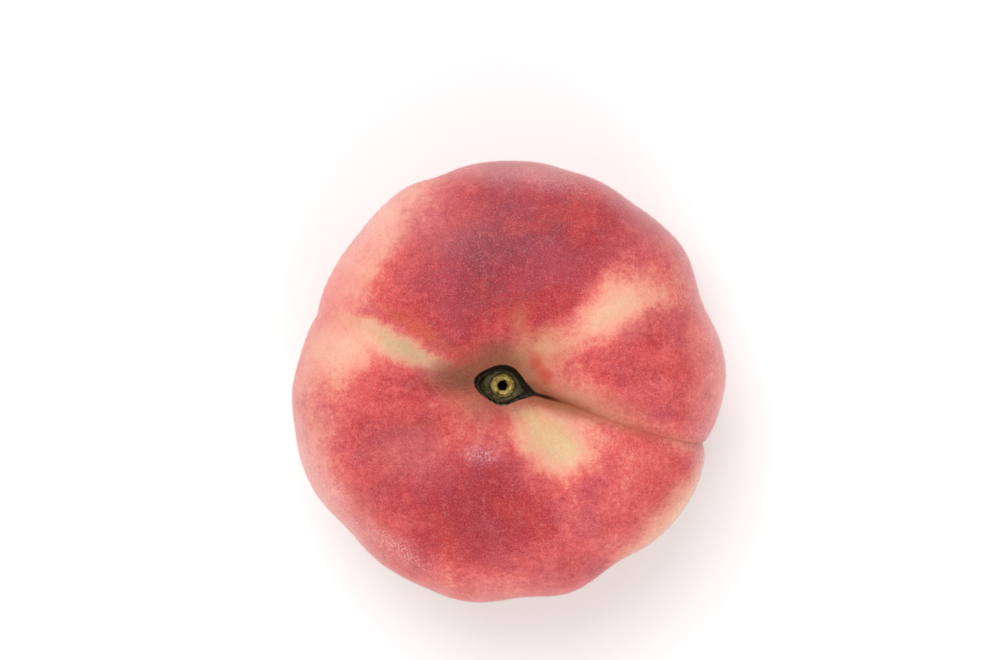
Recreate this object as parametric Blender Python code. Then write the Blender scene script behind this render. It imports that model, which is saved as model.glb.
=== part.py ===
# Flat peach, picked, lying on its blossom end with the stalk hollow facing up.
# The fruit is one solid. Sizes below are in millimetres, and the model is built in metres, +Z up.
# The origin is on the ground, under the middle of the fruit's outline.

import math

import bmesh
import bpy
import numpy as np
from mathutils import Vector, noise

MM = 0.001
RIM = math.pi / 2

# Driving dimensions of the fruit
RIM_RADIUS = 35.4
RIM_HEIGHT = 19.4
RIM_FULLNESS = 0.87  # 1 is an ellipse in section, less is boxier
TOP_RISE = 22.0
TOP_DISH = 14.0
TOP_DISH_RADIUS = 12.6
TOP_TILT = 0.8  # how much higher the top is on the side opposite the suture
UNDER_DROP = 22.5
UNDER_DISH = 11.5
UNDER_DISH_RADIUS = 12.8
STALK_END_AT = (-1.2, -0.6)  # where the axis meets the stalk hollow, from the rim's middle
BLOSSOM_END_AT = (0.8, -0.6)

# The suture is the seam from the stalk hollow round the rim to the blossom end.
# Angles round from it are positive anticlockwise, seen from above.
SUTURE_ANGLE = math.radians(340.3)
SUTURE_BEND = math.radians(1.9)
SUTURE_SWING = math.radians(6.2)  # how far round it has turned where it leaves the stalk pit
SUTURE_SWING_REACH = 12.5
SUTURE_RIM_ANGLE = SUTURE_ANGLE + SUTURE_BEND
SUTURE_DEPTH = 1.1
SUTURE_WIDTHS = (1.7, 0.7)  # slopes of the cheek before the seam and of the one that leans over it
SUTURE_RIM_DEPTH = 0.9
SUTURE_RIM_WIDTHS = (3.0, 5.5)
FUNNEL_DEPTH = 0.7  # extra depth where the suture runs out of the stalk pit
FUNNEL_WIDTH = 1.3
FUNNEL_START = 5.0
FUNNEL_REACH = 3.0
FAR_NOTCH_ANGLE = math.radians(160.5)
FAR_NOTCH_DEPTH = 0.75
FAR_NOTCH_WIDTH = 2.6

# Swells and hollows round the rim: (angle in degrees, height, half width in degrees)
RIM_SWELLS = (
    (1, 0.30, 7),
    (22, -1.40, 10),
    (38, 0.35, 7),
    (56, -0.35, 6),
    (75, -0.33, 5),
    (85, 0.80, 38),
    (109, -0.38, 5),
    (118, 0.22, 5),
    (136, -0.45, 9),
    (158, -1.25, 22),
    (183, 0.35, 6),
    (203, 0.50, 13),
    (223, -0.75, 8),
    (228, 1.12, 38),
    (257, 0.60, 9),
    (273, -0.40, 6),
    (286, 0.35, 6),
    (301, -1.02, 8),
)
SWELL_REACH = 1.0  # radians from the rim over which the swells fade

# Valleys that part the cheeks: (angle from the suture, depth on top, depth below, half width)
CHEEK_VALLEYS = (
    (0, 1.3, 1.1, 22),
    (180, 2.0, 0.8, 17),
    (62, 0.5, 0.3, 15),
    (262, 0.3, 0.5, 20),
)
VALLEY_CROWN = 0.5  # share of the rim radius where the valleys are deepest
CHEEK_TURN = math.radians(18)  # half of the stretch round the rim where the top's relief gives way

# Stalk pit: a drop-shaped hole whose point meets the suture, and the ring of the stalk scar on its floor
PIT_RADIUS = 3.8
PIT_SIDE = 3.12
PIT_LEAN = 0.2  # how much wider it is on its upper side than on its lower one
PIT_LEAN_TURN = math.radians(21.5)
PIT_BACK = 1.14  # how much further out its rounded end lies, away from the suture
PIT_BACK_TURN = math.radians(188)
PIT_BACK_WIDTH = math.radians(34)
PIT_TIP_TURN = math.radians(0.5)
PIT_TIP_SPREAD = math.radians(51.5)  # how far round from the point its straight sides reach
PIT_DEPTH = 2.8
PIT_WALL = 1.1
PIT_FADES_AT = 18.0  # distance from the axis where nothing of the pit's outline is left
SCAR_RING_RADIUS = 1.3
SCAR_RING_WIDTH = 0.42
SCAR_RING_HEIGHT = 0.75
SCAR_HOLE_DEPTH = 0.5

# Underside
LOW_POINTS = 3
LOW_POINT_DROP = 0.45
LOW_POINT_TURN = math.radians(35)
FLAT_SPOT_DEPTH = 0.38  # how far the fruit has settled onto its low points
BLOSSOM_TIP_HEIGHT = 0.7
BLOSSOM_TIP_RADIUS = 1.3

LUMP_HEIGHT = 0.14
LUMP_SPAN = 8.0

# Mesh: rings are close together in the stalk pit, and meridians along the suture
SEGMENTS = 80
RINGS = 56
RING_SPREAD = ((0, 0), (0.16, 5.6), (0.29, 22), (0.54, 74), (0.72, 116), (1, 180))
MERIDIAN_CROWDING = (0.45, 0.13)

SKIN_COLOUR = (0.72, 0.16, 0.15, 1.0)
SKIN_ROUGHNESS = 0.75


def clear_scene():
    for obj in list(bpy.data.objects):
        bpy.data.objects.remove(obj)


def smooth_step(value, low, high):
    share = np.clip((value - low) / (high - low), 0, 1)
    return share * share * (3 - 2 * share)


def bell(value, width):
    return np.exp(-((value / width) ** 2))


def wrapped(angle):
    """The same angle, between minus pi and pi."""
    return (angle + math.pi) % (2 * math.pi) - math.pi


def reach_of(fall):
    """Share of the rim radius at this angle down from the stalk end."""
    return np.abs(np.sin(fall)) ** RIM_FULLNESS


def underside_share(fall):
    """0 on the top, 1 on the underside, turning over round the rim."""
    return smooth_step(fall, RIM - CHEEK_TURN, RIM + CHEEK_TURN)


def pit_outline(turn):
    """Distance from the axis to the edge of the stalk pit."""
    from_tip = np.abs(wrapped(turn - PIT_TIP_TURN))
    side = PIT_SIDE + PIT_LEAN * np.sin(turn - PIT_LEAN_TURN)
    tapered = side / np.cos(np.maximum(PIT_TIP_SPREAD - from_tip, 0))
    return tapered + PIT_BACK * bell(wrapped(turn - PIT_BACK_TURN), PIT_BACK_WIDTH)


def eye_shaped(turn, reach):
    """Stretches the reach near the stalk pit, so that a circle round the axis takes the pit's outline."""
    across = RIM_RADIUS * reach
    share = smooth_step(across, 2.0, 3.4) * (1 - smooth_step(across, 4.4, PIT_FADES_AT))
    return reach * (1 + share * (pit_outline(turn) / PIT_RADIUS - 1))


def body_point(turn, fall):
    """The smooth fruit. turn is the angle round from the suture, fall the angle down from the stalk end."""
    on_top = fall < RIM
    reach = np.where(on_top, eye_shaped(turn, reach_of(fall)), reach_of(fall))
    stand = np.maximum(1 - reach ** (2 / RIM_FULLNESS), 0) ** (RIM_FULLNESS / 2)
    across = RIM_RADIUS * reach
    top = RIM_HEIGHT + TOP_RISE * stand - TOP_DISH * bell(across, TOP_DISH_RADIUS)
    top -= TOP_TILT * reach * (1 - reach) * 4 * np.cos(turn)
    under = RIM_HEIGHT - UNDER_DROP * stand + UNDER_DISH * bell(across, UNDER_DISH_RADIUS)

    angle = SUTURE_ANGLE + SUTURE_BEND * np.where(on_top, reach**3, 1) + turn
    angle += SUTURE_SWING * bell(across, SUTURE_SWING_REACH) * on_top
    off_axis = 1 - reach**2
    middle_x = off_axis * np.where(on_top, STALK_END_AT[0], BLOSSOM_END_AT[0])
    middle_y = off_axis * np.where(on_top, STALK_END_AT[1], BLOSSOM_END_AT[1])
    return np.stack(
        [
            middle_x + across * np.cos(angle),
            middle_y + across * np.sin(angle),
            np.where(on_top, top, under),
        ],
        axis=-1,
    )


def outward(turn, fall):
    """Unit vectors that point out of the smooth fruit."""
    step = 0.004
    along = body_point(turn, fall + step) - body_point(turn, fall - step)
    around = body_point(turn + step, fall) - body_point(turn - step, fall)
    normal = np.cross(along, around)
    length = np.linalg.norm(normal, axis=-1, keepdims=True)
    return normal / np.maximum(length, 1e-12)


def rim_swells(turn, fall):
    angle = SUTURE_RIM_ANGLE + turn
    total = np.zeros_like(turn)
    for degrees, height, half_width in RIM_SWELLS:
        away = wrapped(angle - math.radians(degrees))
        total += height * bell(away, math.radians(half_width))
    return total * bell(fall - RIM, SWELL_REACH)


def cheek_valleys(turn, fall):
    share = (reach_of(fall) / VALLEY_CROWN) ** 2
    band = share * np.exp(1 - share)
    under = underside_share(fall)
    total = np.zeros_like(turn)
    for degrees, on_top, below, half_width in CHEEK_VALLEYS:
        away = wrapped(turn - math.radians(degrees))
        depth = on_top + (below - on_top) * under
        total -= depth * bell(away, math.radians(half_width))
    return total * band


def creases(turn, fall):
    """The sharp line of the suture, and the notch in the rim opposite it."""
    across = RIM_RADIUS * reach_of(fall)
    round_rim = bell(fall - RIM, 0.5)
    past_pit = smooth_step(across, 2.6, 5.0)
    aside = across * np.sin(wrapped(turn) / 2) * 2
    width = np.where(aside < 0, *SUTURE_WIDTHS)
    width = width + (np.where(aside < 0, *SUTURE_RIM_WIDTHS) - width) * round_rim
    seam = (SUTURE_DEPTH + SUTURE_RIM_DEPTH * round_rim) * np.exp(-np.abs(aside) / width)
    funnel = FUNNEL_DEPTH * bell(across - FUNNEL_START, FUNNEL_REACH) * np.exp(-np.abs(aside) / FUNNEL_WIDTH)

    away = wrapped(SUTURE_RIM_ANGLE + turn - FAR_NOTCH_ANGLE)
    far_aside = across * np.abs(np.sin(away / 2)) * 2
    notch = FAR_NOTCH_DEPTH * round_rim * np.exp(-far_aside / FAR_NOTCH_WIDTH)
    return -(seam + funnel + notch) * past_pit


def low_points(turn, fall):
    """The low places round the underside, which the fruit rests on."""
    share = (reach_of(fall) / 0.55) ** 2
    band = share * np.exp(1 - share) * underside_share(fall)
    return LOW_POINT_DROP * band * np.cos(LOW_POINTS * (turn - LOW_POINT_TURN))


def lumps(points):
    heights = [noise.noise(Vector(p) / LUMP_SPAN) for p in points]
    return LUMP_HEIGHT * np.array(heights)


def stalk_pit(fall):
    """How far the stalk pit and its scar ring lower the surface."""
    across = RIM_RADIUS * reach_of(fall)
    wall_foot = PIT_RADIUS - PIT_WALL
    hole = PIT_DEPTH * (1 - smooth_step(across, wall_foot, PIT_RADIUS + 0.2))
    ring = SCAR_RING_HEIGHT * bell(across - SCAR_RING_RADIUS, SCAR_RING_WIDTH)
    centre = SCAR_HOLE_DEPTH * bell(across, SCAR_RING_RADIUS / 2)
    return (hole - ring + centre) * (fall < RIM)


def blossom_tip(fall):
    across = RIM_RADIUS * reach_of(fall)
    return BLOSSOM_TIP_HEIGHT * bell(across, BLOSSOM_TIP_RADIUS) * (fall > RIM)


def skin_points(turn, fall):
    """The whole surface, lobes, grooves and stalk pit included."""
    smooth = body_point(turn, fall)
    away_from_poles = smooth_step(reach_of(fall), 0.0, 0.2)
    relief = rim_swells(turn, fall) + cheek_valleys(turn, fall) + creases(turn, fall)
    relief += low_points(turn, fall) + lumps(smooth) * away_from_poles
    points = smooth + outward(turn, fall) * relief[:, None]
    points[:, 2] -= stalk_pit(fall) + blossom_tip(fall)
    return points


def levelled(points, turn, fall):
    """Brings the low points of the underside to one height."""
    lowest = []
    for number in range(LOW_POINTS):
        middle = LOW_POINT_TURN + number * 2 * math.pi / LOW_POINTS
        near = (fall > RIM) & (np.abs(wrapped(turn - middle)) < math.pi / LOW_POINTS)
        lowest.append(min(points[near], key=lambda point: point[2]))
    x, y, z = np.transpose(lowest)
    lean_x, lean_y, height = np.linalg.solve(np.stack([x, y, np.ones(3)], axis=-1), z)
    points[:, 2] -= lean_x * points[:, 0] + lean_y * points[:, 1] + height
    return points


def settled(points):
    """Stands the fruit on the ground: the outline's middle over the origin, the low points pressed flat."""
    low, high = points.min(axis=0), points.max(axis=0)
    points[:, :2] -= (low[:2] + high[:2]) / 2
    points[:, 2] = np.maximum(points[:, 2] - low[2] - FLAT_SPOT_DEPTH, 0)
    return points


def peach_mesh():
    bm = bmesh.new()
    bmesh.ops.create_uvsphere(bm, u_segments=SEGMENTS, v_segments=RINGS, radius=1.0)
    bm.verts.ensure_lookup_table()
    places = np.array([vert.co for vert in bm.verts], float)
    round_angle = np.arctan2(places[:, 1], places[:, 0])
    once, twice = MERIDIAN_CROWDING
    turn = round_angle - once * np.sin(round_angle) - twice * np.sin(2 * round_angle)
    down = np.arccos(np.clip(places[:, 2], -1, 1)) / math.pi
    shares, degrees = zip(*RING_SPREAD)
    fall = np.radians(np.interp(down, shares, degrees))
    points = settled(levelled(skin_points(turn, fall), turn, fall))
    for vert, point in zip(bm.verts, points):
        vert.co = Vector(point) * MM
    bmesh.ops.recalc_face_normals(bm, faces=bm.faces)
    mesh = bpy.data.meshes.new("flat_peach")
    bm.to_mesh(mesh)
    bm.free()
    mesh.shade_smooth()
    return mesh


def skin_material():
    material = bpy.data.materials.new("peach_skin")
    material.use_nodes = True
    shader = material.node_tree.nodes["Principled BSDF"]
    shader.inputs["Base Color"].default_value = SKIN_COLOUR
    shader.inputs["Roughness"].default_value = SKIN_ROUGHNESS
    shader.inputs["Metallic"].default_value = 0.0
    return material


def build():
    clear_scene()
    collection = bpy.data.collections.new("flat_peach")
    bpy.context.scene.collection.children.link(collection)
    fruit = bpy.data.objects.new("flat_peach", peach_mesh())
    fruit.data.materials.append(skin_material())
    collection.objects.link(fruit)


build()
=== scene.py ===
import math

import bmesh
import bpy
import numpy as np
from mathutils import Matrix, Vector, noise


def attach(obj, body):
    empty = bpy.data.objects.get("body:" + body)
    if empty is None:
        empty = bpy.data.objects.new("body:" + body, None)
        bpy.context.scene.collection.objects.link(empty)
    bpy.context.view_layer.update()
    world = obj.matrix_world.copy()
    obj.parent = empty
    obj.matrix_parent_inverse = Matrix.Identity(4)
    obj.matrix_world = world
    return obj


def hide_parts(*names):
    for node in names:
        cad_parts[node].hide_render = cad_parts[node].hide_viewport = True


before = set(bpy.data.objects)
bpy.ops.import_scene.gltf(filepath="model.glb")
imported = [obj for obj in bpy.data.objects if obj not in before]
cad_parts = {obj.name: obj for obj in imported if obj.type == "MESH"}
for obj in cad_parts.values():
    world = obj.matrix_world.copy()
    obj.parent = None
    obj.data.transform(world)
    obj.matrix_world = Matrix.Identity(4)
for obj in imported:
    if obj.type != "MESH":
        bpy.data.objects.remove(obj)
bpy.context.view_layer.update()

mm = 0.001
rimFall = math.pi / 2  # lengths below are in millimetres, and fall is the angle down from the stalk end

fruit = {
    "segments": 160,  # halved once more after the sphere is made
    "rings": 150,
    "ringSpread": ((0, 0), (0.19, 5.9), (0.33, 22), (0.58, 74), (0.76, 116), (1, 180)),
    "crowding": (0.45, 0.13),  # draws the meridians towards the suture
    "rimRadius": 35.4,
    "rimHeight": 19.4,
    "fullness": 0.87,
    "topRise": 22.0,
    "topDish": 14.0,
    "topDishRadius": 12.6,
    "topTilt": 0.8,
    "underDrop": 22.5,
    "underDish": 11.5,
    "underDishRadius": 12.8,
    "stalkEnd": (-1.2, -0.6),
    "blossomEnd": (0.8, -0.6),
    "swellReach": 1.0,
    "lumpHeight": 0.14,
    "lumpSpan": 8.0,
    "streakStretch": (20, 0.3),  # round the fruit, and out from the stalk end
}

rimSwells = (  # angle in degrees, height, half width in degrees
    (1, 0.30, 7),
    (22, -1.40, 10),
    (38, 0.35, 7),
    (56, -0.35, 6),
    (75, -0.33, 5),
    (85, 0.80, 38),
    (109, -0.38, 5),
    (118, 0.22, 5),
    (136, -0.45, 9),
    (158, -1.25, 22),
    (183, 0.35, 6),
    (203, 0.50, 13),
    (223, -0.75, 8),
    (228, 1.12, 38),
    (257, 0.60, 9),
    (273, -0.40, 6),
    (286, 0.35, 6),
    (301, -1.02, 8),
)

suture = {
    "angle": 340.3,
    "bend": 1.9,
    "swing": (6.2, 12.5),  # degrees it has turned where it leaves the pit, and how far out that fades
    "depth": 1.1,
    "widths": (1.7, 0.7),  # before the seam, and past it where the cheek leans over
    "rimDepth": 0.9,
    "rimWidths": (3.0, 5.5),
    "rimReach": 0.5,  # in radians of fall, to either side of the rim
    "startsAt": (2.6, 5.0),
    "funnel": (0.7, 1.3, 5.0, 3.0),  # extra depth and width beside the pit, how far out, and its reach
    "farNotch": (160.5, 0.75, 2.6),  # angle, depth and width of the notch across from it
    "bare": (0.5, 10),  # half width of its downless line, and how far out that goes
}

valleys = {
    "each": ((0, 1.3, 1.1, 22), (180, 2.0, 0.8, 17), (62, 0.5, 0.3, 15), (262, 0.3, 0.5, 20)),
    "crown": 0.5,
    "turnsOver": 18.0,
    "fold": (176.5, 0.55, 2.6, 17.5, 8.0),  # turn, depth, half width in degrees, how far out, half length
    "foldLean": 0.45,  # steeper on the side where the cheek bulges
    "wrinkles": (190, 0.16, 30, 34, 6.2, 2.0),  # turn, height, half width, waves round, how far out, reach
    "wrinkleSway": 0.8,
}

pit = {
    "radius": 3.8,
    "side": 3.12,
    "lean": (21.5, 0.2),  # turn in degrees, and how much wider the upper side is than the lower
    "back": (188, 1.14, 34),  # turn in degrees, how much further out, half width in degrees
    "tip": (0.5, 51.5),  # turn of the point, and how far round from it its straight sides reach
    "depth": 2.8,
    "wall": 1.0,
    "shapedInside": (2.0, 3.4),  # how far out the ring round the scar turns into the eye shape
    "shapedOutside": (4.4, 18.0),  # and how far out that is round again
    "ringRadius": 1.3,
    "ringWidth": 0.42,
    "ringHeight": 0.75,
    "holeRadius": 0.72,
    "holeDepth": 1.3,
    "holeEdge": (0.3, 0.2),
    "bareMargin": 0.25,
}

underside = {
    "lowPoints": 3,
    "lowDrop": 0.45,
    "lowAt": 0.55,  # share of the way out
    "lowTurn": 35.0,
    "flatDepth": 0.38,
    "tipHeight": 0.7,
    "tipRadius": 1.3,
}


def smoothStep(value, low, high):
    share = np.clip((value - low) / (high - low), 0, 1)
    return share * share * (3 - 2 * share)


def bell(value, width):
    return np.exp(-((value / width) ** 2))


def wrapped(angle):
    return (angle + math.pi) % (2 * math.pi) - math.pi


def reachOf(fall):
    return np.abs(np.sin(fall)) ** fruit["fullness"]  # share of the rim's radius


def undersideShare(fall):
    half = math.radians(valleys["turnsOver"])
    return smoothStep(fall, rimFall - half, rimFall + half)


def bumpAt(turn, degrees, height, halfWidth):
    return height * bell(wrapped(turn - math.radians(degrees)), math.radians(halfWidth))


def eyeShaped(turn, reach):
    across = fruit["rimRadius"] * reach
    tip, spread = (math.radians(degrees) for degrees in pit["tip"])
    side = pit["side"] + pit["lean"][1] * np.sin(turn - math.radians(pit["lean"][0]))
    outline = side / np.cos(np.maximum(spread - np.abs(wrapped(turn - tip)), 0)) + bumpAt(turn, *pit["back"])
    share = smoothStep(across, *pit["shapedInside"]) * (1 - smoothStep(across, *pit["shapedOutside"]))
    return reach * (1 + share * (outline / pit["radius"] - 1))


def bodyPoint(turn, fall):
    full, onTop = fruit["fullness"], fall < rimFall
    reach = np.where(onTop, eyeShaped(turn, reachOf(fall)), reachOf(fall))
    stand = np.maximum(1 - reach ** (2 / full), 0) ** (full / 2)
    across = fruit["rimRadius"] * reach
    top = fruit["rimHeight"] + fruit["topRise"] * stand
    top -= fruit["topDish"] * bell(across, fruit["topDishRadius"])
    top -= fruit["topTilt"] * reach * (1 - reach) * 4 * np.cos(turn)
    under = fruit["rimHeight"] - fruit["underDrop"] * stand
    under += fruit["underDish"] * bell(across, fruit["underDishRadius"])
    bend = math.radians(suture["bend"]) * np.where(onTop, reach**3, 1)
    swing = math.radians(suture["swing"][0]) * bell(across, suture["swing"][1]) * onTop
    angle = math.radians(suture["angle"]) + bend + swing + turn
    offAxis = 1 - reach**2
    middleX = offAxis * np.where(onTop, fruit["stalkEnd"][0], fruit["blossomEnd"][0])
    middleY = offAxis * np.where(onTop, fruit["stalkEnd"][1], fruit["blossomEnd"][1])
    x, y = middleX + across * np.cos(angle), middleY + across * np.sin(angle)
    return np.stack([x, y, np.where(onTop, top, under)], axis=-1)


def outward(turn, fall):
    step = 0.004
    along = bodyPoint(turn, fall + step) - bodyPoint(turn, fall - step)
    around = bodyPoint(turn + step, fall) - bodyPoint(turn - step, fall)
    normal = np.cross(along, around)
    return normal / np.maximum(np.linalg.norm(normal, axis=-1, keepdims=True), 1e-12)


def sutureAside(turn, fall):
    return fruit["rimRadius"] * reachOf(fall) * np.sin(wrapped(turn) / 2) * 2


def relief(turn, fall):
    across = fruit["rimRadius"] * reachOf(fall)
    roundRim = bell(fall - rimFall, suture["rimReach"])
    rimAngle = math.radians(suture["angle"] + suture["bend"]) + turn

    total = sum(bumpAt(rimAngle, *swell) for swell in rimSwells) * bell(fall - rimFall, fruit["swellReach"])

    share = (reachOf(fall) / valleys["crown"]) ** 2
    band, under = share * np.exp(1 - share), undersideShare(fall)
    for degrees, onTop, below, halfWidth in valleys["each"]:
        total -= band * bumpAt(turn, degrees, 1, halfWidth) * (onTop + (below - onTop) * under)
    foldTurn, foldDepth, foldWidth, foldOut, foldReach = valleys["fold"]
    away = np.degrees(wrapped(turn - math.radians(foldTurn)))
    away = np.where(away > 0, away * valleys["foldLean"], -away)
    total -= foldDepth * np.exp(-away / foldWidth) * bell(across - foldOut, foldReach) * (fall < rimFall)
    middle, height, halfWidth, waves, outBy, reach = valleys["wrinkles"]
    rippled = np.cos(waves * turn + valleys["wrinkleSway"] * np.sin(across))
    rippled = rippled * bell(across - outBy, reach) * (fall < rimFall)
    total += bumpAt(turn, middle, height, halfWidth) * rippled

    aside = sutureAside(turn, fall)
    width = np.where(aside < 0, *suture["widths"])
    width = width + (np.where(aside < 0, *suture["rimWidths"]) - width) * roundRim
    seam = (suture["depth"] + suture["rimDepth"] * roundRim) * np.exp(-np.abs(aside) / width)
    funnelDepth, funnelWidth, funnelOut, funnelReach = suture["funnel"]
    seam = seam + funnelDepth * bell(across - funnelOut, funnelReach) * np.exp(-np.abs(aside) / funnelWidth)
    notchAngle, notchDepth, notchWidth = suture["farNotch"]
    farAside = across * np.abs(np.sin(wrapped(rimAngle - math.radians(notchAngle)) / 2)) * 2
    notch = notchDepth * roundRim * np.exp(-farAside / notchWidth)
    total -= (seam + notch) * smoothStep(across, *suture["startsAt"])

    low = (reachOf(fall) / underside["lowAt"]) ** 2
    waves = np.cos(underside["lowPoints"] * (turn - math.radians(underside["lowTurn"])))
    return total + underside["lowDrop"] * low * np.exp(1 - low) * under * waves


def stalkPit(fall):
    across = fruit["rimRadius"] * reachOf(fall)
    hole = pit["depth"] * (1 - smoothStep(across, pit["radius"] - pit["wall"], pit["radius"] + 0.1))
    ring = pit["ringHeight"] * bell(across - pit["ringRadius"], pit["ringWidth"])
    inner, outer = pit["holeEdge"]
    centre = pit["holeDepth"] * (1 - smoothStep(across, pit["holeRadius"] - inner, pit["holeRadius"] + outer))
    return (hole - ring + centre) * (fall < rimFall)


def skinPoints(turn, fall):
    smooth = bodyPoint(turn, fall)
    lumps = fruit["lumpHeight"] * np.array([noise.noise(Vector(p) / fruit["lumpSpan"]) for p in smooth])
    total = relief(turn, fall) + lumps * smoothStep(reachOf(fall), 0.0, 0.2)
    points = smooth + outward(turn, fall) * total[:, None]
    across = fruit["rimRadius"] * reachOf(fall)
    tip = underside["tipHeight"] * bell(across, underside["tipRadius"]) * (fall > rimFall)
    points[:, 2] -= stalkPit(fall) + tip
    return points


def settled(points, turn, fall):  # on its three low places, which are pressed flat
    lowest, third = [], 2 * math.pi / underside["lowPoints"]
    for number in range(underside["lowPoints"]):
        away = np.abs(wrapped(turn - math.radians(underside["lowTurn"]) - number * third))
        lowest.append(min(points[(fall > rimFall) & (away < third / 2)], key=lambda point: point[2]))
    x, y, z = np.transpose(lowest)
    leanX, leanY, height = np.linalg.solve(np.stack([x, y, np.ones(3)], axis=-1), z)
    points[:, 2] -= leanX * points[:, 0] + leanY * points[:, 1] + height
    low, high = points.min(axis=0), points.max(axis=0)
    points[:, :2] -= (low[:2] + high[:2]) / 2
    points[:, 2] = np.maximum(points[:, 2] - low[2] - underside["flatDepth"], 0)
    return points


def ringOrder(place):  # the operators' own order changes from run to run, and the down is drawn by it
    rings, steps = 2 * fruit["rings"], 8 * fruit["segments"]
    ring = math.floor(place.angle(Vector((0, 0, 1))) / math.pi * rings + 0.25)
    step = math.floor((math.atan2(place.y, place.x) / (2 * math.pi) * steps + 0.5) % steps)
    return ring * steps + step


def addLayer(mesh, name, values):
    layer = mesh.attributes.new(name, "FLOAT_VECTOR", "POINT")
    layer.data.foreach_set("vector", np.stack(values, axis=-1).astype(np.float32).ravel())


def markBare(mesh, aside, across):  # the downless faces have their own finish
    corners = [list(face.vertices) for face in mesh.polygons]
    inner = np.array([across[each].min() for each in corners])
    beside = aside[[each[0] for each in corners]]
    halfWidth, reach = suture["bare"]
    bare = (inner < pit["radius"] + pit["bareMargin"]) | ((beside < halfWidth) & (inner < reach))
    mesh.polygons.foreach_set("material_index", bare.astype(np.int32))


def makeSkin():
    bm = bmesh.new()
    bmesh.ops.create_uvsphere(bm, u_segments=fruit["segments"], v_segments=fruit["rings"], radius=1.0)
    bmesh.ops.subdivide_edges(bm, edges=bm.edges[:], cuts=1, use_grid_fill=True)
    bm.verts.sort(key=lambda vert: ringOrder(vert.co))
    bm.faces.sort(key=lambda face: ringOrder(face.calc_center_median()))
    places = np.array([vert.co.normalized() for vert in bm.verts], float)
    roundAngle = np.arctan2(places[:, 1], places[:, 0])
    once, twice = fruit["crowding"]
    turn = roundAngle - once * np.sin(roundAngle) - twice * np.sin(2 * roundAngle)
    shares, degrees = zip(*fruit["ringSpread"])
    fall = np.radians(np.interp(np.arccos(np.clip(places[:, 2], -1, 1)) / math.pi, shares, degrees))
    points = settled(skinPoints(turn, fall), turn, fall)
    for vert, point in zip(bm.verts, points):
        vert.co = Vector(point) * mm
    bmesh.ops.recalc_face_normals(bm, faces=bm.faces)
    mesh = bpy.data.meshes.new("peachSkin")
    bm.to_mesh(mesh)
    bm.free()
    mesh.shade_smooth()
    across = fruit["rimRadius"] * reachOf(fall)
    across = np.where(fall < rimFall, across, 2 * fruit["rimRadius"] - across)
    aside = np.abs(sutureAside(turn, fall))
    addLayer(mesh, "place", (aside, across, across * np.sin(turn)))  # beside the suture, out, and which side
    wide, long = fruit["streakStretch"]
    addLayer(mesh, "streak", (wide * np.cos(turn), wide * np.sin(turn), long * across))
    markBare(mesh, aside, across)
    piece = bpy.data.objects.new("peachSkin", mesh)
    bpy.context.scene.collection.objects.link(piece)
    return piece


skin = makeSkin()
print("skin", len(skin.data.polygons), "faces")


# shader sums, written as plain expressions
class Wire:
    def __init__(self, bench, socket):
        self.bench, self.socket = bench, socket

    def __add__(self, other):
        return self.bench.maths("ADD", self, other)

    __radd__ = __add__

    def __sub__(self, other):
        return self.bench.maths("SUBTRACT", self, other)

    def __rsub__(self, other):
        return self.bench.maths("SUBTRACT", other, self)

    def __mul__(self, other):
        return self.bench.maths("MULTIPLY", self, other)

    __rmul__ = __mul__

    def __truediv__(self, other):
        return self.bench.maths("DIVIDE", self, other)


class Bench:
    def __init__(self, name):
        self.material = bpy.data.materials.new(name)
        self.material.use_nodes = True
        self.tree = self.material.node_tree
        self.shader = self.tree.nodes["Principled BSDF"]

    def node(self, kind, settings=None, values=None, output=0):
        made = self.tree.nodes.new(kind)
        for name, value in (settings or {}).items():
            if name == "stops":
                ramp = made.color_ramp
                while len(ramp.elements) < len(value):
                    ramp.elements.new(1.0)
                for stop, (position, colour) in zip(ramp.elements, value):
                    stop.position, stop.color = position, colour
            else:
                setattr(made, name, value)
        for name, value in (values or {}).items():
            self.put(made.inputs[name], value)
        return Wire(self, made.outputs[output])

    def put(self, socket, value):
        if isinstance(value, Wire):
            self.tree.links.new(value.socket, socket)
        else:
            socket.default_value = value

    def maths(self, operation, first, second=0.0):
        return self.node("ShaderNodeMath", {"operation": operation}, {0: first, 1: second})

    def smooth(self, value, low, high, least=0.0, most=1.0):
        values = {0: value, 1: low, 2: high, 3: least, 4: most}
        return self.node("ShaderNodeMapRange", {"interpolation_type": "SMOOTHSTEP"}, values)

    def blend(self, share, first, second):
        return self.node("ShaderNodeMix", {"data_type": "RGBA"}, {0: share, 6: first, 7: second}, 2)

    def cloud(self, where, size, detail=2.0, rough=0.5, output=0):
        values = {"Vector": where, "Scale": 1 / size, "Detail": detail, "Roughness": rough}
        return self.node("ShaderNodeTexNoise", {}, values, output)

    def warped(self, where, size, reach):  # the same places, pushed about a little
        drift = self.cloud(where, size, output=1)
        drift = self.node("ShaderNodeVectorMath", {"operation": "SUBTRACT"}, {0: drift, 1: (0.5, 0.5, 0.5)})
        drift = self.node("ShaderNodeVectorMath", {"operation": "SCALE"}, {0: drift, 3: reach})
        return self.node("ShaderNodeVectorMath", {"operation": "ADD"}, {0: where, 1: drift})

    def spot(self, where, middle, halves, degrees=0.0, soft=0.4):  # 1 inside a turned ellipsoid, 0 outside
        reach = [half * (1 + soft) for half in halves]
        turned = {"Location": middle, "Rotation": (0, 0, math.radians(degrees)), "Scale": reach}
        near = self.node("ShaderNodeMapping", {"vector_type": "TEXTURE"}, {"Vector": where, **turned})
        inside = self.node("ShaderNodeTexGradient", {"gradient_type": "SPHERICAL"}, {"Vector": near}, 1)
        return self.smooth(inside, 0.0, 2 * soft / (1 + soft))


def srgb(red, green, blue):
    parts = [c / 255 for c in (red, green, blue)]
    return (*[c / 12.92 if c <= 0.04045 else ((c + 0.055) / 1.055) ** 2.4 for c in parts], 1.0)


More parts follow.
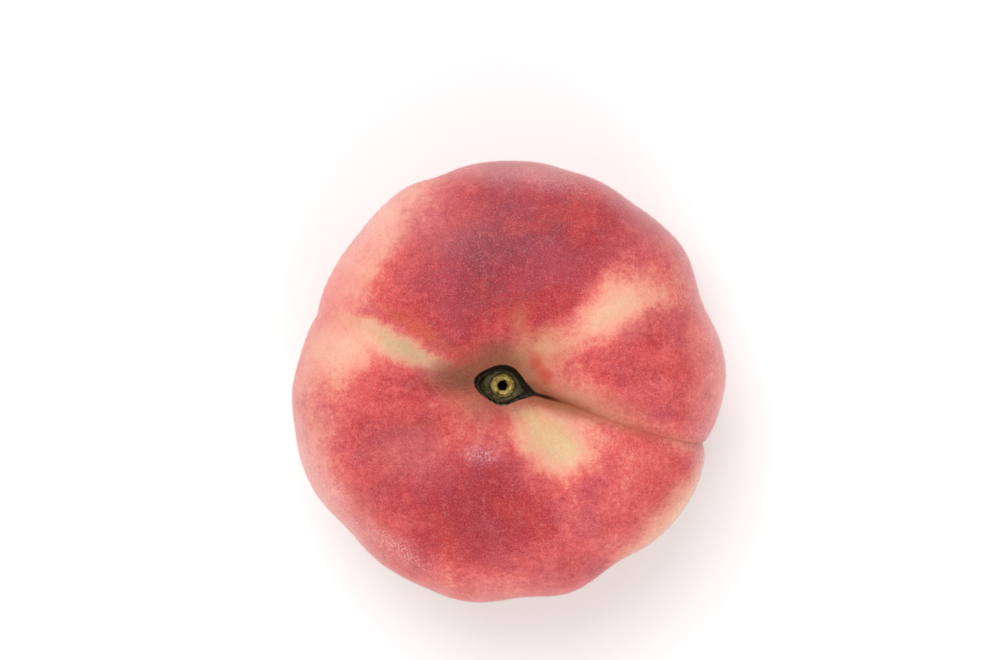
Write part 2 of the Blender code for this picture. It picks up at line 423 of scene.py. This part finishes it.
skinLook = {
    "ripeness": (  # from the pale ground colour to the darkest blush
        (0.00, srgb(216, 186, 144)),
        (0.14, srgb(229, 177, 146)),
        (0.30, srgb(232, 149, 128)),
        (0.48, srgb(218, 94, 92)),
        (0.70, srgb(179, 49, 57)),
        (1.00, srgb(132, 45, 58)),
    ),
    "ground": 0.54,
    "mottles": (  # size, detail, roughness, amount
        (14.0, 2.0, 0.5, 0.30),
        (3.0, 3.0, 0.55, 0.34),  # this one runs out from the stalk end in streaks
        (2.4, 3.0, 0.6, 0.30),
    ),
    "grains": ((0.34, 0.24), (0.8, 0.26)),  # size, amount
    "grainTone": (0.0, 0.5, 0.4, 1.0),  # weaker on the palest skin
    "ragged": (5.0, 3.0),  # size and reach of the push that roughens the edges of large patches
    "frayed": (1.2, 1.6),  # and of small ones
    # middle, half sizes, turn in degrees, softness, amount
    "palePatches": (
        ((-17.5, 5.6, 33), (7.0, 1.75, 14), -29, 0.85, 0.50),
        ((-26.8, 5.4, 28), (5.0, 4.2, 14), 0, 0.9, 0.36),
        ((-26.0, -0.5, 32), (6.0, 5.0, 14), 0, 0.9, 0.10),
        ((-3.0, -8.0, 30), (5.5, 3.5, 14), 0, 0.9, 0.12),
        ((17.8, 12.0, 36), (5.6, 4.4, 14), 24, 0.9, 0.34),
        ((9.0, 6.4, 30), (9.5, 2.8, 14), 30, 0.9, 0.24),
        ((1.8, 9.8, 30), (1.6, 3.6, 14), -10, 0.9, 0.30),
        ((7.8, -9.2, 32), (5.8, 3.6, 14), -34, 0.9, 0.46),
        ((10.0, -8.6, 32), (7.0, 5.0, 14), -30, 0.9, 0.11),
        ((10.0, -2.0, 32), (8.0, 3.0, 14), -18, 0.9, 0.28),
        ((18.0, -11.0, 30), (4.6, 3.4, 14), 0, 0.9, 0.07),
        ((30.8, -20.0, 16), (4.2, 11.0, 12), -36, 0.8, 0.36),
        ((-25.0, -25.0, 14), (6.0, 14.0, 14), 40, 0.9, 0.16),
        ((-32.0, 4.0, 18), (6.0, 22.0, 14), 0, 0.9, 0.18),
        ((-21.0, 25.0, 22), (10.0, 5.0, 12), 45, 0.9, 0.20),
        ((0.0, -34.0, 14), (18.0, 4.0, 14), 0, 0.9, 0.14),
        ((35.0, 4.0, 16), (4.0, 16.0, 14), 0, 0.9, 0.12),
        ((6.4, -13.8, 32), (3.6, 2.8, 14), 0, 0.9, 0.24),
        ((-14.0, 28.5, 26), (7.0, 4.0, 14), 30, 0.9, 0.18),
        ((-24.0, 17.0, 28), (8.5, 2.8, 14), 52, 0.9, 0.22),
        ((-27.0, -11.6, 28), (4.0, 4.4, 14), 0, 0.9, 0.20),
        ((-21.5, 14.5, 30), (2.8, 2.8, 14), 0, 0.9, 0.12),
        ((27.0, -9.0, 28), (5.0, 2.2, 14), -18, 0.9, 0.16),
        ((13.0, 2.6, 32), (6.0, 2.0, 14), -5, 0.9, 0.04),
        ((-12.0, 24.0, 30), (5.5, 4.0, 14), 20, 0.9, 0.10),
        ((26.6, 15.0, 28), (3.4, 5.0, 14), 20, 0.9, 0.13),
        ((-10.0, -14.2, 30), (4.4, 3.6, 14), 0, 0.9, 0.10),
        ((7.4, -19.6, 30), (4.0, 4.4, 14), 0, 0.9, 0.08),
        ((-17.0, -10.6, 30), (4.4, 3.0, 14), 20, 0.9, 0.05),
        ((-29.5, -4.0, 28), (3.0, 4.0, 14), 0, 0.9, 0.06),
        ((20.0, -24.6, 24), (4.4, 3.2, 14), 40, 0.9, 0.12),
        ((3.2, -8.2, 30), (2.4, 2.8, 14), 0, 0.9, 0.09),
    ),
    "darkPatches": (
        ((1.0, 25.0, 34), (14.0, 8.5, 14), 0, 0.9, 0.28),
        ((-11.0, 19.0, 36), (9.0, 6.0, 14), 30, 0.9, 0.17),
        ((-4.0, 11.0, 34), (11.0, 5.0, 14), 0, 0.8, 0.14),
        ((8.8, 16.7, 34), (11.0, 4.5, 14), 47, 0.3, 0.13),
        ((20.0, 26.0, 24), (10.0, 4.0, 14), -45, 0.9, 0.08),
        ((-20.0, -7.5, 36), (7.5, 5.0, 14), 20, 0.9, 0.11),
        ((-17.0, -17.0, 32), (7.5, 5.0, 14), -40, 0.9, 0.06),
        ((-4.0, -20.2, 36), (8.4, 6.8, 14), 0, 0.9, 0.42),
        ((1.5, 18.0, 34), (8.0, 5.0, 14), 10, 0.9, 0.16),
        ((-18.6, 0.4, 34), (5.0, 3.0, 14), 0, 0.9, 0.07),
        ((21.2, 8.6, 34), (3.1, 3.0, 14), 30, 0.9, 0.20),
        ((17.6, 2.6, 34), (3.8, 2.6, 14), 0, 0.9, 0.08),
        ((13.6, -14.0, 34), (3.2, 2.8, 14), 20, 0.9, 0.10),
        ((20.0, -8.4, 34), (4.4, 1.8, 14), -18, 0.9, 0.10),
        ((-12.8, 2.0, 32), (3.2, 1.5, 14), -24, 0.9, 0.12),
        ((-9.0, 7.4, 32), (3.2, 2.4, 14), -20, 0.9, 0.07),
    ),
    "tints": (  # colour, middle, half sizes, turn in degrees, softness, share
        (srgb(158, 84, 98), (-3.0, 26.0, 34), (10.0, 6.0, 14), 0, 0.9, 0.26),
        # painted shade: the pale band left of the stalk pit, its own cream darkened as if in its valley's
        # shade, then a dark line painted where the cheek above folds over it
        (srgb(180, 160, 120), (-15.5, 4.7, 33), (6.0, 1.8, 14), -30, 0.9, 0.66),
        (srgb(196, 96, 60), (-13.6, 8.0, 33), (7.0, 0.9, 14), -32, 0.9, 0.60),
        (srgb(240, 186, 160), (17.5, 12.5, 36), (5.0, 4.0, 14), 20, 0.9, 0.25),
        # painted shade on the skin's own brown: darker brown above and left of the stalk pit, where the dish
        # falls into shade
        (srgb(116, 72, 42), (-1.8, 4.2, 28), (4.6, 2.4, 12), 0, 0.9, 0.64),
        (srgb(104, 72, 42), (-8.4, 0.4, 30), (4.4, 2.2, 12), -6, 0.9, 0.80),
        (srgb(204, 170, 122), (5.0, 5.4, 30), (4.2, 2.4, 12), 24, 0.9, 0.60),
        (srgb(210, 178, 130), (2.6, -5.2, 28), (3.4, 1.4, 12), -30, 0.9, 0.60),
        (srgb(222, 202, 150), (7.0, -8.8, 32), (4.8, 1.8, 12), -38, 0.9, 0.55),
        # painted shade on the upper side of the suture, where the cheek rolls down into the crease
        (srgb(178, 114, 84), (13.0, -3.2, 30), (8.0, 2.0, 12), -20, 0.9, 0.74),
        # painted sheen: pale bands along the rim where the down catches the light, over the skin's own pink,
        # and the last one over cream skin
        (srgb(246, 178, 172), (-33.5, 1.0, 18), (4.5, 16.0, 16), 0, 0.9, 0.36),
        (srgb(252, 200, 188), (-23.0, 24.5, 20), (10.0, 4.6, 14), 47, 0.9, 0.66),
        (srgb(248, 190, 184), (-28.0, -18.5, 16), (4.4, 13.0, 14), 34, 0.9, 0.62),
        (srgb(238, 164, 158), (-3.0, -34.5, 14), (16.0, 3.0, 14), 0, 0.9, 0.35),
        (srgb(255, 178, 170), (34.0, 4.0, 16), (4.2, 14.0, 16), 0, 0.9, 0.60),
        (srgb(210, 164, 160), (2.0, 34.8, 20), (12.0, 3.0, 14), 0, 0.9, 0.50),
        (srgb(202, 144, 148), (22.5, 26.5, 20), (10.0, 3.0, 14), -48, 0.9, 0.50),
        (srgb(255, 218, 180), (25.6, -22.3, 16), (9.5, 3.3, 12), 49, 0.8, 0.90),
        (srgb(164, 26, 34), (-3.8, -20.0, 34), (8.6, 6.5, 14), 0, 0.9, 0.66),
        (srgb(202, 44, 50), (8.0, 16.0, 34), (9.0, 4.0, 14), 47, 0.9, 0.30),
        (srgb(206, 142, 112), (-6.2, -4.0, 28), (3.6, 2.2, 12), -20, 0.9, 0.55),
        (srgb(242, 124, 134), (-27.6, 14.2, 26), (3.4, 6.6, 14), -22, 0.9, 0.46),
        (srgb(254, 200, 186), (-27.0, 5.0, 28), (4.0, 3.2, 14), 0, 0.9, 0.36),
        # painted shade below the suture, near the stalk pit
        (srgb(134, 72, 38), (9.4, -4.4, 30), (3.9, 1.2, 12), -18, 0.9, 0.50),
        (srgb(190, 100, 74), (6.8, 2.2, 28), (2.9, 2.3, 12), 0, 0.9, 0.42),
        (srgb(198, 118, 112), (-17.0, -10.6, 32), (5.4, 4.0, 14), 20, 0.9, 0.34),
        (srgb(206, 124, 130), (-12.0, 24.0, 30), (6.4, 4.2, 14), 20, 0.9, 0.32),
        (srgb(170, 110, 68), (1.4, 9.6, 30), (1.5, 3.4, 12), -10, 0.9, 0.44),
    ),
    "blotches": (  # small red ones on the pale skin right of the stalk pit
        (srgb(202, 66, 54), (4.3, 3.0, 28), (1.1, 1.6, 12), 20, 0.7, 0.70),
        (srgb(202, 62, 54), (5.8, 1.0, 28), (1.0, 1.2, 12), 20, 0.7, 0.74),
        (srgb(208, 80, 74), (-1.2, -6.4, 28), (1.6, 1.1, 12), 0, 0.8, 0.50),
    ),
    "bloomAndRimSheen": (  # where the down shows white: first a patch on the face where it is rubbed white, then painted sheen along the rim where the down catches the light
        (srgb(226, 186, 198), (-4.4, -11.4, 33), (2.4, 1.3, 12), 0, 0.9, 0.60),
        (srgb(244, 196, 194), (-18.4, -26.6, 22), (6.5, 1.5, 14), -36, 0.9, 0.75),
        (srgb(246, 206, 204), (-29.4, -16.6, 20), (2.0, 7.5, 14), 26, 0.9, 0.60),
        (srgb(232, 190, 200), (31.0, 15.0, 22), (2.4, 10.0, 14), 20, 0.9, 0.45),
        (srgb(222, 178, 182), (32.2, -9.4, 22), (3.2, 6.6, 14), 0, 0.9, 0.62),
        (srgb(216, 178, 190), (8.0, 32.0, 22), (12.0, 2.2, 14), -10, 0.9, 0.40),
    ),
    "fuzz": ((0.3, 2.0, 0.6), (0.42, 0.66)),  # noise, and from and to where on it the bloom and the painted rim sheen are thick
    "grime": (0.6, 3.0, 0.6),  # frays the edges round the suture and the stalk pit
    "underside": (19.0, 3.0, 0.42),  # it turns pale from and to these heights, and by how much
    "roughness": 0.62,
    "subsurface": (0.10, (1.0, 0.35, 0.2), 0.0015),  # weight, radius of each colour, and scale
    "sheen": (0.3, (1.0, 0.88, 0.88, 1.0)),  # roughness and tint
    "nap": ((0.16, 2.0, 0.6), (0.5, 2.0), 0.8),  # fine and coarse noise, and how much of the coarse one
    "napHeight": (0.5, 0.00015),  # strength, and height in metres
    "finishes": {"peachSkin": (0.55, 0.25), "stalkPit": (0.0, 0.12)},  # sheen weight and specular level
}

def ripeTone(bench, where, ragged, streak):  # how far the blush has come, from 0 to 1
    tone = skinLook["ground"]
    for spread, (*grain, amount) in zip((where, streak, where), skinLook["mottles"]):
        tone = tone + (bench.cloud(spread, *grain) - 0.5) * amount
    for *spot, amount in skinLook["darkPatches"]:
        tone = tone + bench.spot(ragged, *spot) * amount
    for *spot, amount in skinLook["palePatches"]:
        tone = tone - bench.spot(ragged, *spot) * amount
    height = bench.node("ShaderNodeSeparateXYZ", {}, {0: ragged}, 2)
    start, full, amount = skinLook["underside"]
    tone = tone - bench.smooth(height, start, full) * amount
    fine, coarse = ((bench.cloud(where, size, 1.0) - 0.5) * amount for size, amount in skinLook["grains"])
    return tone + (fine + coarse) * bench.smooth(tone, *skinLook["grainTone"])


# a noise is its size, detail and roughness, and a step is where it starts and is full, its least and its most
mottling = {
    "flush": (2.0, 4.0, 0.6),  # on the pale skin alone
    "flushStep": (0.42, 0.70),
    "flushTone": (0.4, 0.1),
    "flushShare": 0.30,
    "flushColour": srgb(230, 146, 122),
    "veil": (1.1, 3.0, 0.6),
    "veilTone": (0.2, 0.7, 0.1),
    "veils": ((0.5, 0.74, 0.20, srgb(220, 136, 132)), (0.5, 0.26, 0.22, srgb(134, 42, 50))),
    "shift": (31.0, 17.0, 5.0),  # so that two noises of one size aren't the same
    "hue": (8.0, 2.0),
    "hueTone": (0.2, 0.6, 0.0, 0.24),
    "hues": ((0.48, 0.66, srgb(168, 80, 100)), (0.50, 0.34, srgb(216, 78, 64))),
    "speck": (0.24, 2.0),
    "speckStep": (0.48, 0.76),
    "paleTone": (0.1, 0.6, 0.20, 0.35),
    "paleColour": srgb(238, 138, 136),
    "darkTone": (0.0, 0.6, 0.28, 0.46),
    "darkColours": (srgb(206, 96, 76), srgb(112, 30, 42)),  # on pale and on ripe skin
    "ripeTone": (0.2, 0.6),
}


def paintMottling(bench, colour, tone, where, streak):
    flush = bench.smooth(bench.cloud(streak, *mottling["flush"]), *mottling["flushStep"])
    flush = flush * bench.smooth(tone, *mottling["flushTone"])
    colour = bench.blend(flush * mottling["flushShare"], colour, mottling["flushColour"])

    veil = bench.cloud(where, *mottling["veil"])
    for start, full, share, tint in mottling["veils"]:
        thick = bench.smooth(veil, start, full) * bench.smooth(tone, *mottling["veilTone"], share)
        colour = bench.blend(thick, colour, tint)

    shifted = bench.node("ShaderNodeVectorMath", {"operation": "ADD"}, {0: where, 1: mottling["shift"]})
    hue = bench.cloud(shifted, *mottling["hue"])
    ripe = bench.smooth(tone, *mottling["hueTone"])
    for start, full, tint in mottling["hues"]:
        colour = bench.blend(bench.smooth(hue, start, full) * ripe, colour, tint)

    specks = bench.smooth(bench.cloud(where, *mottling["speck"]), *mottling["speckStep"])
    colour = bench.blend(specks * bench.smooth(tone, *mottling["paleTone"]), colour, mottling["paleColour"])
    specks = bench.smooth(bench.cloud(shifted, *mottling["speck"]), *mottling["speckStep"])
    specks = specks * bench.smooth(tone, *mottling["darkTone"])
    deep = bench.blend(bench.smooth(tone, *mottling["ripeTone"]), *mottling["darkColours"])
    return bench.blend(specks, colour, deep)


seamLook = {
    "brown": (9.0, 4.0),  # round the stalk pit
    "brownFray": 2.0,
    "brownSide": (-4.0, 1.5, 0.40, 0.80),  # less of it on the lower side
    "brownColour": srgb(132, 84, 50),
    "lines": (0.9, 4.0, 0.7),
    # painted highlight and shade: pale and dark streaks along fine creases left of the stalk pit
    "creasePatch": ((-9.4, -0.2, 30), (4.2, 2.4, 12), 0, 0.9),
    "creaseLightAndShade": ((0.54, 0.72, 0.36, srgb(208, 150, 112)), (0.46, 0.28, 0.42, srgb(104, 56, 40))),
    "shadeFray": 0.8,
    "shadeWidth": (2.4, 0.3),
    "shadeOut": (18.0, 9.0, 0.28, 0.74),  # it pales on its way to the rim
    "shadeEnd": (60.0, 48.0),
    "shadeColour": srgb(154, 90, 58),
    "halfWidth": (7.5, 4.3, 0.17, 0.30),
    "fray": 0.08,
    "edge": (1.3, 0.5),
    "end": (62.0, 45.0),
    "far": (4.6, 8.5),
    "farLoss": 0.45,
    "rim": (35.0, 25.0, 0.45, 1.0),
    "colours": (srgb(62, 24, 12), srgb(180, 92, 64)),  # near the pit and far out
}


def paintSeam(bench, colour, place, grime, frayed, streak):
    aside, across, sideways = place
    brown = bench.smooth(across + (grime - 0.5) * seamLook["brownFray"], *seamLook["brown"])
    brown = brown * bench.smooth(sideways, *seamLook["brownSide"])
    colour = bench.blend(brown, colour, seamLook["brownColour"])

    # painted highlight and shade of fine creases left of the stalk pit
    lines = bench.cloud(streak, *seamLook["lines"])
    creasePatch = bench.spot(frayed, *seamLook["creasePatch"])
    for start, full, share, tint in seamLook["creaseLightAndShade"]:
        colour = bench.blend(creasePatch * bench.smooth(lines, start, full) * share, colour, tint)

    shade = bench.smooth(aside + grime * seamLook["shadeFray"], *seamLook["shadeWidth"])
    shade = shade * bench.smooth(across, *seamLook["shadeOut"])
    shade = shade * bench.smooth(across, *seamLook["shadeEnd"])
    colour = bench.blend(shade, colour, seamLook["shadeColour"])

    halfWidth = bench.smooth(across, *seamLook["halfWidth"])
    seam = bench.smooth((aside + grime * seamLook["fray"]) / halfWidth, *seamLook["edge"])
    seam = seam * bench.smooth(across, *seamLook["end"])
    far = bench.smooth(across, *seamLook["far"])
    seam = seam * bench.smooth(across, *seamLook["rim"])
    seam = seam * (1 - far * seamLook["farLoss"])
    return bench.blend(seam, colour, bench.blend(far, *seamLook["colours"]))


pitLook = {  # how frayed a disc's edge is, the radii where it starts and is full, and its colour
    "edge": (0.2, 4.06, 3.88, srgb(26, 17, 12)),
    "wall": (1.2, 3.60, 3.40, srgb(80, 76, 64)),
    "line": (1.0, 3.35, 3.20, srgb(20, 14, 10)),
    "floor": (0.8, 3.05, 2.85, (0.38, 0.62, srgb(66, 58, 38), srgb(112, 100, 72))),
    "groove": (0.6, 2.25, 1.95, srgb(62, 52, 22)),
    "ring": (0.4, 1.95, 1.75, (0.35, 0.65, srgb(164, 132, 62), srgb(222, 198, 118))),
    "hole": (0.8, 0.95, 0.75, srgb(22, 9, 9)),
    # painted shade in the narrow tip of the stalk pit
    "tipShade": (srgb(50, 44, 34), (2.9, -1.3, 20), (1.7, 1.4, 9), -16, 0.6, 0.8),
    "broken": (srgb(66, 28, 16), (-1.9, -1.9, 20), (0.45, 0.35, 9), 40, 0.6, 0.9),
    "dust": (0.8, 3.0, 0.65),  # mottles the floor and the ring in two colours each
    "shadeShift": 0.16,  # shifts the wall, line and floor colours a little towards the lower side, so the dark lip band is wider on the upper side: painted shade on the upper wall
}


def paintPit(bench, colour, place, grime, where):
    across = place[1]
    # painted shade: the dark lip band is widened on the upper side of the pit
    shadeShifted = across + place[2] * pitLook["shadeShift"]
    dusty = bench.cloud(where, *pitLook["dust"])

    def disc(under, name, middle):
        frayed, start, full, tint = pitLook[name]
        if name in ("floor", "ring"):
            low, high, *pair = tint
            tint = bench.blend(bench.smooth(dusty, low, high), *pair)
        return bench.blend(bench.smooth(middle + (grime - 0.5) * frayed, start, full), under, tint)

    def spot(under, name):
        tint, *patch, share = pitLook[name]
        return bench.blend(bench.spot(where, *patch) * share, under, tint)

    colour = disc(colour, "edge", across)
    colour = disc(colour, "wall", shadeShifted)
    colour = disc(colour, "line", shadeShifted)
    colour = disc(colour, "floor", shadeShifted)
    colour = disc(colour, "groove", across)
    # painted shade in the pit's narrow tip
    colour = spot(colour, "tipShade")
    colour = disc(colour, "ring", across)
    colour = spot(colour, "broken")
    return disc(colour, "hole", across)


def skinMaterial(name):
    bench = Bench(name)
    where = bench.node("ShaderNodeTexCoord", output=3)
    where = bench.node("ShaderNodeVectorMath", {"operation": "SCALE"}, {0: where, 3: 1 / mm})
    ragged, frayed = (bench.warped(where, *skinLook[edge]) for edge in ("ragged", "frayed"))
    streak = bench.node("ShaderNodeAttribute", {"attribute_name": "streak"}, output=1)

    tone = ripeTone(bench, where, ragged, streak)
    colour = bench.node("ShaderNodeValToRGB", {"stops": skinLook["ripeness"]}, {0: tone})
    # several tints in the table are painted shade and painted rim sheen, marked there
    for tint, *spot, share in skinLook["tints"]:
        colour = bench.blend(bench.spot(ragged, *spot) * share, colour, tint)
    colour = paintMottling(bench, colour, tone, where, streak)
    for tint, *spot, share in skinLook["blotches"]:
        colour = bench.blend(bench.spot(frayed, *spot) * share, colour, tint)
    noiseOf, grow = skinLook["fuzz"]
    fuzzy = bench.smooth(bench.cloud(where, *noiseOf), *grow)
    # the bloom on the face, and painted sheen along the rim
    for tint, *spot, share in skinLook["bloomAndRimSheen"]:
        colour = bench.blend(bench.spot(ragged, *spot) * fuzzy * share, colour, tint)

    place = bench.node("ShaderNodeAttribute", {"attribute_name": "place"}, output=1)
    place = [bench.node("ShaderNodeSeparateXYZ", {}, {0: place}, axis) for axis in range(3)]
    grime = bench.cloud(where, *skinLook["grime"])
    colour = paintSeam(bench, colour, place, grime, frayed, streak)
    colour = paintPit(bench, colour, place, grime, where)

    fine, coarse, share = skinLook["nap"]
    nap = bench.cloud(where, *fine) + bench.cloud(where, *coarse) * share
    strength, distance = skinLook["napHeight"]
    bump = bench.node("ShaderNodeBump", {}, {"Strength": strength, "Distance": distance, "Height": nap})
    bench.put(bench.shader.inputs["Base Color"], colour)
    bench.put(bench.shader.inputs["Normal"], bump)
    sheen, specular = skinLook["finishes"][name]
    weight, radius, scale = skinLook["subsurface"]
    rough, tint = skinLook["sheen"]
    bench.shader.inputs["Roughness"].default_value = skinLook["roughness"]
    bench.shader.inputs["Specular IOR Level"].default_value = specular
    bench.shader.inputs["Subsurface Weight"].default_value = weight
    bench.shader.inputs["Subsurface Radius"].default_value = radius
    bench.shader.inputs["Subsurface Scale"].default_value = scale
    bench.shader.inputs["Sheen Weight"].default_value = sheen
    bench.shader.inputs["Sheen Roughness"].default_value = rough
    bench.shader.inputs["Sheen Tint"].default_value = tint
    return bench.material


for finish in skinLook["finishes"]:
    skin.data.materials.append(skinMaterial(finish))
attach(skin, "root")
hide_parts("flat_peach")
print("skin material done")


down = {
    "pieces": 5,
    "doublings": 15,  # hairs in a piece: 2 to this power
    "seedSize": (0.3, 0.6),  # radius and height of the first hair, in its unit cell
    "length": (0.12, 0.38),
    "shortest": 0.06,  # for roots that are lower than lowRoot
    "lowRoot": 0.1,
    "lowTip": 0.03,
    "width": 0.011,
    "lean": 1.1,  # most, in radians from upright
    "leanSpread": 0.7,
    "twist": 0.3,
    "sunk": 0.08,
    "outOfPit": (4.1, 5.6),  # none inside the first radius, and as many as elsewhere from the second
    "outOfSuture": (0.15, 0.5),
    "seed": 7,
    "roughness": 0.9,
    "colours": (  # one a piece, near the blush that shines through
        srgb(222, 132, 128),
        srgb(214, 120, 124),
        srgb(232, 158, 148),
        srgb(204, 108, 116),
        srgb(238, 182, 170),
    ),
}


def hairField():  # one hair, doubled over and over, each copy one unit further along X or Y
    bm = bmesh.new()
    radius, height = down["seedSize"]
    bmesh.ops.create_cone(bm, segments=3, radius1=radius, radius2=0.0, depth=height, cap_ends=True)
    for step in range(down["doublings"]):
        shift = [0.0, 0.0, 0.0]
        shift[step % 2] = 2 ** (step // 2)
        copies = bmesh.ops.duplicate(bm, geom=bm.verts[:] + bm.edges[:] + bm.faces[:])["geom"]
        copies = [part for part in copies if isinstance(part, bmesh.types.BMVert)]
        bmesh.ops.translate(bm, verts=copies, vec=shift)
    mesh = bpy.data.meshes.new("hairField")
    bm.to_mesh(mesh)
    bm.free()
    spots = np.empty(len(mesh.vertices) * 3)
    mesh.vertices.foreach_get("co", spots)
    spots = spots.reshape(-1, 3)
    cell = np.round(spots[:, :2])
    number = (cell[:, 0] + 2 ** ((down["doublings"] + 1) // 2) * cell[:, 1]).astype(int)
    local = spots - np.c_[cell, np.zeros(len(cell))]
    local[:, :2] /= radius
    local[:, 2] = local[:, 2] / height + 0.5
    return mesh, number, local


def cornersOf(face):  # two on the upper ring and two on the lower, with a pole counted twice
    corners = sorted(face.vertices)
    if len(corners) == 3:
        corners.append(corners[0] if corners[0] == 0 else corners[-1])
    return sorted(corners)


def skinRoots(count, draw):  # roots spread evenly by area, with the skin's normals
    mesh = skin.data
    corners = np.array([cornersOf(face) for face in mesh.polygons])
    spots, normals, place = (np.empty(len(mesh.vertices) * 3, dtype=np.float32) for each in range(3))
    mesh.vertices.foreach_get("co", spots)
    mesh.vertex_normals.foreach_get("vector", normals)
    mesh.attributes["place"].data.foreach_get("vector", place)
    spots, normals, place = (values.reshape(-1, 3) / 1.0 for values in (spots / mm, normals, place))
    first, second, third, fourth = (spots[corners[:, i]] for i in range(4))
    area = np.linalg.norm(np.cross(fourth - first, third - second), axis=1)
    middle = place[corners].mean(axis=1)
    area = area * smoothStep(middle[:, 1], *down["outOfPit"])
    area = area * smoothStep(middle[:, 0], *down["outOfSuture"])
    chosen = draw.choice(len(corners), size=count, p=area / area.sum())
    u, v = draw.random((2, count, 1))
    mix = [(1 - u) * (1 - v), u * (1 - v), (1 - u) * v, u * v]
    root = sum(spots[corners[chosen, i]] * mix[i] for i in range(4))
    normal = sum(normals[corners[chosen, i]] * mix[i] for i in range(4))
    return root, normal / np.linalg.norm(normal, axis=1, keepdims=True)


def hairMaterial(name, colour):
    bench = Bench(name)
    bench.shader.inputs["Base Color"].default_value = colour
    bench.shader.inputs["Roughness"].default_value = down["roughness"]
    bench.shader.inputs["Specular IOR Level"].default_value = 0.0
    return bench.material


def makeDown():
    field, number, local = hairField()
    draw = np.random.default_rng(down["seed"])
    count = 2 ** down["doublings"]
    pieces = []
    for index in range(down["pieces"]):
        root, normal = skinRoots(count, draw)
        sideways = np.cross(normal, draw.normal(size=(count, 3)))
        sideways /= np.linalg.norm(sideways, axis=1, keepdims=True)
        lean = draw.random((count, 1)) ** down["leanSpread"] * down["lean"]
        axis = normal * np.cos(lean) + sideways * np.sin(lean)
        length = draw.uniform(*down["length"], (count, 1))
        low = (root + axis * length)[:, 2] < down["lowTip"]  # nothing reaches under the fruit
        axis[:, 2] = np.where(low, np.maximum(axis[:, 2], 0.02), axis[:, 2])
        length = np.where(root[:, 2:] < down["lowRoot"], down["shortest"], length)
        flat = np.cross(axis, normal + down["twist"] * sideways[:, ::-1])
        flat /= np.maximum(np.linalg.norm(flat, axis=1, keepdims=True), 1e-6)
        other = np.cross(axis, flat)
        co = root[number] + axis[number] * (local[:, 2:] * (length[number] + down["sunk"]) - down["sunk"])
        co += (flat[number] * local[:, :1] + other[number] * local[:, 1:2]) * down["width"]
        co[:, 2] = np.maximum(co[:, 2], 0.0)
        mesh = field.copy()
        mesh.name = f"peachDown{index + 1}"
        mesh.vertices.foreach_set("co", (co * mm).astype(np.float32).ravel())
        mesh.update()
        mesh.materials.append(hairMaterial(mesh.name, down["colours"][index]))
        piece = bpy.data.objects.new(mesh.name, mesh)
        bpy.context.scene.collection.objects.link(piece)
        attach(piece, "root")
        pieces.append(piece)
    bpy.data.meshes.remove(field)
    return pieces


hairs = makeDown()
print("down", len(hairs), "pieces of", 2 ** down["doublings"], "hairs")


studio = {
    "cameraAt": (-2.3, 8.4, 719.0),
    "lens": 155.3,
    "floorSize": 6.0,
    "floorDrop": 0.00002,  # so that it doesn't share a plane with the flat spots
    "floor": (0.86, 0.86, 0.87, 1.0),
    "floorGlow": 0.06,
    "floorRoughness": 0.6,
    "sky": 0.65,
    "aim": (0, 0, 0.02),
    "key": ((-0.20, 0.48, 0.78), 0.80, 5.25),  # place, size and power
    "fill": ((0.12, -0.62, 0.45), 0.60, 2.2),
}


def makeStudio():
    scene = bpy.context.scene
    bm = bmesh.new()
    bmesh.ops.create_grid(bm, x_segments=1, y_segments=1, size=studio["floorSize"] / 2)
    bmesh.ops.translate(bm, verts=bm.verts, vec=(0, 0, -studio["floorDrop"]))
    mesh = bpy.data.meshes.new("studioFloor")
    bm.to_mesh(mesh)
    bm.free()
    floor = bpy.data.objects.new("studioFloor", mesh)
    scene.collection.objects.link(floor)
    bench = Bench("studioFloor")
    bench.shader.inputs["Base Color"].default_value = studio["floor"]
    bench.shader.inputs["Emission Color"].default_value = (1.0, 1.0, 1.0, 1.0)
    bench.shader.inputs["Emission Strength"].default_value = studio["floorGlow"]
    bench.shader.inputs["Roughness"].default_value = studio["floorRoughness"]
    mesh.materials.append(bench.material)

    world = bpy.data.worlds.new("studio")
    world.use_nodes = True
    background = world.node_tree.nodes["Background"]
    background.inputs[0].default_value = (1.0, 1.0, 1.0, 1.0)
    background.inputs[1].default_value = studio["sky"]
    scene.world = world

    for name in ("key", "fill"):
        place, size, power = studio[name]
        light = bpy.data.lights.new(name, "AREA")
        light.shape, light.size, light.energy = "DISK", size, power
        lamp = bpy.data.objects.new(name, light)
        lamp.location = place
        towards = Vector(studio["aim"]) - Vector(place)
        lamp.rotation_euler = towards.to_track_quat("-Z", "Y").to_euler()
        scene.collection.objects.link(lamp)

    lens = bpy.data.cameras.new("camera")
    lens.lens, lens.sensor_width = studio["lens"], 36.0
    lens.clip_start, lens.clip_end = 0.01, 20.0
    camera = bpy.data.objects.new("camera", lens)
    camera.location = Vector(studio["cameraAt"]) * mm
    scene.collection.objects.link(camera)
    scene.camera = camera
    scene.view_settings.view_transform = "Standard"


makeStudio()
print("studio ready")
